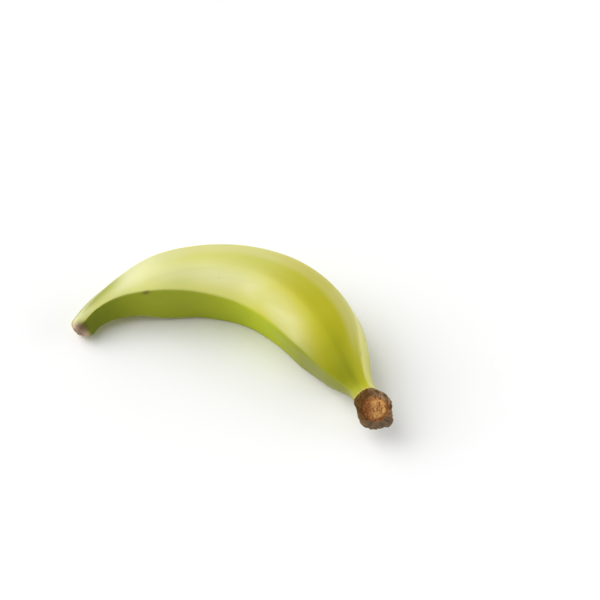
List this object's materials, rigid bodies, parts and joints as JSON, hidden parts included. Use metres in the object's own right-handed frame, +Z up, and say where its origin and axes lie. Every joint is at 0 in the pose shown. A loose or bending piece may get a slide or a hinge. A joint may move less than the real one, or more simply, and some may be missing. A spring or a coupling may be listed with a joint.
{
  "type": "banana",
  "caption": "Whole green cooking banana lying on its side, with ridged peel, dried flower tip and a short cut stalk.",
  "frame": {"origin": "middle of the fruit's footprint, on the table that it lies on", "axes": "+X along the straight line from flower end to cut stalk, +Y towards the outer side of the bend, +Z up from the table"},
  "size_m": [0.2198, 0.1, 0.0497],
  "materials": {
    "peel": "smooth satin fruit skin, with dry brown fibre at the cut stalk and the flower end"
  },
  "bodies": {
    "root": {"banana": "peel"}
  },
  "joints": []
}
